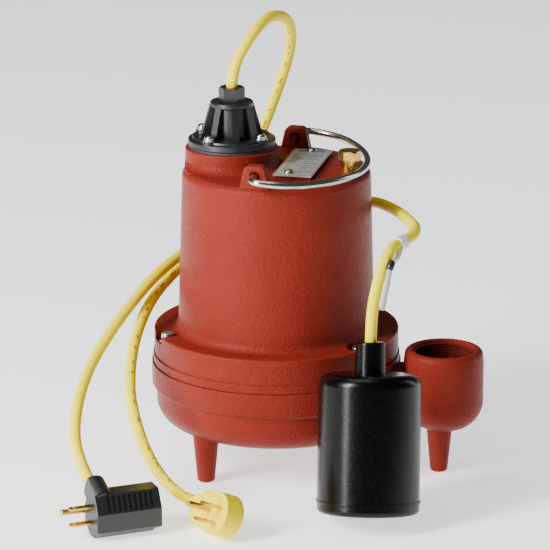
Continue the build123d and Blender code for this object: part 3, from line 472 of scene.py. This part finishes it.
TIE_STRAP = [(0.0795, -0.0665, 0.2005), (0.0800, -0.0730, 0.1960), (0.0788, -0.0810, 0.1935),
             (0.0772, -0.0872, 0.1930)]
TIE_TAIL = [(0.0766, -0.0895, 0.1905), (0.0758, -0.0918, 0.1830), (0.0742, -0.0950, 0.1710),
            (0.0724, -0.0980, 0.1590)]
STRAP_HALF, STRAP_THICK = 0.0021, 0.0011
STRAP_PROFILE = [              # across the strap and through it, as shares of its sizes
    (-1, 0), (-0.9, 0.42), (-0.35, 0.5), (-0.2, 0.36), (0.2, 0.36), (0.35, 0.5), (0.9, 0.42),
    (1, 0), (0.9, -0.5), (-0.9, -0.5),
]
HEAD_ALONG = (-0.55, -0.35, 0.5, 1.35, 1.55)
HEAD_RADII = [0.0022, 0.0030, 0.0031, 0.0030, 0.0022]
FACING = Vector((math.cos(CAMERA_TURN), math.sin(CAMERA_TURN), 0))


def strap(name, route, finish):
    """Flat strap along a route, with its edges rounded off and one shallow groove down its middle."""
    line = centreline(route)
    corners, faces = [], []
    count = len(STRAP_PROFILE)
    for index, place in enumerate(line):
        way = (line[min(index + 1, len(line) - 1)] - line[max(index - 1, 0)]).normalized()
        side = (FACING - way * FACING.dot(way)).normalized()
        front = side.cross(way)
        corners += [place + side * STRAP_HALF * u + front * STRAP_THICK * v for u, v in STRAP_PROFILE]
    for index in range(len(line) - 1):
        for k in range(count):
            a, b = index * count + k, index * count + (k + 1) % count
            faces.append((a, b, b + count, a + count))
    faces.append(tuple(reversed(range(count))))
    faces.append(tuple(range((len(line) - 1) * count, len(line) * count)))
    return mesh_piece(name, corners, faces, finish)


strap_piece = strap("tie_strap", TIE_STRAP, nylon)
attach(strap_piece, "float")
# The free end takes the grey tie nylon, painted shade where it hangs below the fold.
tail = strap("tie_free_end", TIE_TAIL, tie_nylon_painted_shade)
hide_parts("tie_tail")
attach(tail, "float")
head_start, head_end = Vector(TIE_STRAP[-1]), Vector(TIE_TAIL[0])
head_line = [head_start + (head_end - head_start) * along for along in HEAD_ALONG]
head = swept("tie_head", head_line, HEAD_RADII, dark_nylon, sides=8)
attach(head, "float")

# ------------------------------------------------------------------ threads in the discharge cup
THREAD_STEPS = 72              # to a turn
THREAD_RUNOUT = 20             # steps over which each end of the ridge rises
THREAD_SUNK = 0.0002           # how far the ridge starts inside the wall
THREAD_ROOT_R = THREAD_R + THREAD_SUNK


def cup_threads():
    """Helical ridge on the cup's bore."""
    turns = (THREAD_HIGH - THREAD_LOW) / THREAD_PITCH
    crest_r = THREAD_R - THREAD_DEEP
    # radius, and height as a share of the pitch
    profile = [(THREAD_ROOT_R, -0.42), (crest_r, -0.07), (crest_r, 0.07), (THREAD_ROOT_R, 0.42)]
    corners, faces = [], []
    steps = int(turns * THREAD_STEPS)
    for index in range(steps + 1):
        turn = 2 * math.pi * index / THREAD_STEPS
        height = THREAD_LOW + THREAD_PITCH * index / THREAD_STEPS
        fade = min(1.0, index / THREAD_RUNOUT, (steps - index) / THREAD_RUNOUT)
        for radius, up in profile:
            out = THREAD_ROOT_R - (THREAD_ROOT_R - radius) * fade
            corners.append(CUP + Vector((out * math.cos(turn), out * math.sin(turn),
                                         height + up * THREAD_PITCH)))
    for index in range(steps):
        for k in range(4):
            a, b = index * 4 + k, index * 4 + (k + 1) % 4
            faces.append((a, a + 4, b + 4, b))
    faces.append((0, 1, 2, 3))
    faces.append(tuple(steps * 4 + k for k in (3, 2, 1, 0)))
    # The ridge takes the darkened thread red, painted shade in the bore.
    return mesh_piece("cup_threads", corners, faces, thread_paint_with_painted_shade, smooth=False)


threads = cup_threads()
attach(threads, "pump_body")

# ------------------------------------------------------------------ nameplate ruling
PLATE_TURN = math.radians(2.3)
PLATE_INK = 0.00012            # thickness of the ruling
INK_SINK = 0.00002
PLATE_MARGIN = 0.0022
RULE_WIDE = 0.0005
PLATE_ROWS, ROW_TALL = 9, 0.0028
ROWS_LOW, ROWS_LEFT_OVER = 0.0105, 0.024   # below the first row, and outside the rows in all
ROW_IN = 0.003                 # from the rule's outer edge to a row
GUTTER = 0.001                 # from the plate's middle line to a row
RAGGED_LEFT, RAGGED_RIGHT = 0.003, 0.004   # steps by which rows are cut short
HEADING_IN, HEADING_FOOT, HEADING_TOP = 0.004, 0.0068, 0.0024   # from the rule's outer edge


def nameplate_rules():
    """Blank panels and ruled lines on the plate; no lettering."""
    low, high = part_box("nameplate")
    middle = (low + high) / 2
    half_x, half_y = (high.x - low.x) / 2 - PLATE_MARGIN, (high.y - low.y) / 2 - PLATE_MARGIN
    top = high.z - INK_SINK
    spans = [
        (-half_x, half_x, -half_y, -half_y + RULE_WIDE),
        (-half_x, half_x, half_y - RULE_WIDE, half_y),
        (-half_x, -half_x + RULE_WIDE, -half_y, half_y),
        (half_x - RULE_WIDE, half_x, -half_y, half_y),
        (-half_x + HEADING_IN, half_x - HEADING_IN, half_y - HEADING_FOOT, half_y - HEADING_TOP),
    ]
    for row in range(PLATE_ROWS):
        y = -half_y + ROWS_LOW + (2 * half_y - ROWS_LEFT_OVER) * row / PLATE_ROWS
        spans.append((-half_x + ROW_IN, -GUTTER - RAGGED_LEFT * (row % 3), y, y + ROW_TALL))
        spans.append((GUTTER, half_x - ROW_IN - RAGGED_RIGHT * (row % 2), y, y + ROW_TALL))
    boxes = []
    for x0, x1, y0, y1 in spans:
        boxes.append(bar_corners((middle.x + x0, middle.y + y0, top),
                                 (middle.x + x1, middle.y + y1, top + PLATE_INK), PLATE_TURN, middle))
    return bars("nameplate_rules", boxes, ink)


rules = nameplate_rules()
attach(rules, "pump_body")


# ------------------------------------------------------------------ floor, light and camera
FLOOR_HALF = 6.0
FLOOR_DROP = 0.0004            # below the feet
LIGHTS = [                     # name; right, up and toward the camera; watts; width and height
    ("key_light", (-1.7, 1.2, 1.1), 84, 0.5, 1.1),
    ("top_light", (-0.5, 2.4, -0.1), 18, 1.4, 1.4),
    ("streak_light", (-0.74, 0.30, 0.70), 11.0, 0.14, 0.9),
    ("rim_light", (1.7, 0.5, -0.9), 5, 0.4, 1.2),
]
AIR_LIGHT = 0.08
SENSOR_WIDE, LENS = 36.0, 215.54   # millimetres
FARTHEST = 50.0

floor_paper = material(
    "floor_paper", (0.90, 0.90, 0.90), 0.9, dark=0.99, patch=0.3, rough_spread=0.02,
    bumps=[("noise", 0.01, 0.00002)], Specular_IOR_Level=0.1,
    Emission_Color=(1, 1, 1, 1), Emission_Strength=1.1)


def floor_piece():
    """Large plain pale floor."""
    half = FLOOR_HALF
    made = mesh_piece(
        "studio_floor", [(-half, -half, 0), (half, -half, 0), (half, half, 0), (-half, half, 0)],
        [(0, 1, 2, 3)], floor_paper, smooth=False)
    made.location.z = -FLOOR_DROP
    return made


floor_piece()


def view_place(right, up, toward):
    """Place given in the camera's own directions from the point it aims at, all level but up."""
    level = Vector((math.sin(CAMERA_TURN), -math.cos(CAMERA_TURN), 0))
    sideways = Vector((math.cos(CAMERA_TURN), math.sin(CAMERA_TURN), 0))
    return CAMERA_AIM + sideways * right + level * toward + Vector((0, 0, up))


def area_light(name, place, watts, wide, tall):
    """Soft rectangular light aimed at the object."""
    data = bpy.data.lights.new(name, "AREA")
    data.shape = "RECTANGLE"
    data.size, data.size_y = wide, tall
    data.energy = watts
    made = bpy.data.objects.new(name, data)
    bpy.context.scene.collection.objects.link(made)
    made.location = place
    made.rotation_euler = (CAMERA_AIM - place).to_track_quat("-Z", "Y").to_euler()
    return made


for name, place, watts, wide, tall in LIGHTS:
    area_light(name, view_place(*place), watts, wide, tall)

world = bpy.data.worlds.new("studio_air")
bpy.context.scene.world = world
world.use_nodes = True
air = world.node_tree.nodes["Background"]
air.inputs["Color"].default_value = (1, 1, 1, 1)
air.inputs["Strength"].default_value = AIR_LIGHT

camera_data = bpy.data.cameras.new("camera")
camera_data.sensor_width = SENSOR_WIDE
camera_data.lens = LENS
camera_data.clip_end = FARTHEST
camera = bpy.data.objects.new("camera", camera_data)
bpy.context.scene.collection.objects.link(camera)
camera.location = CAMERA_AIM + CAMERA_AWAY * Vector((
    math.sin(CAMERA_TURN) * math.cos(CAMERA_TILT),
    -math.cos(CAMERA_TURN) * math.cos(CAMERA_TILT),
    math.sin(CAMERA_TILT)))
camera.rotation_euler = (CAMERA_AIM - camera.location).to_track_quat("-Z", "Y").to_euler()
bpy.context.scene.camera = camera
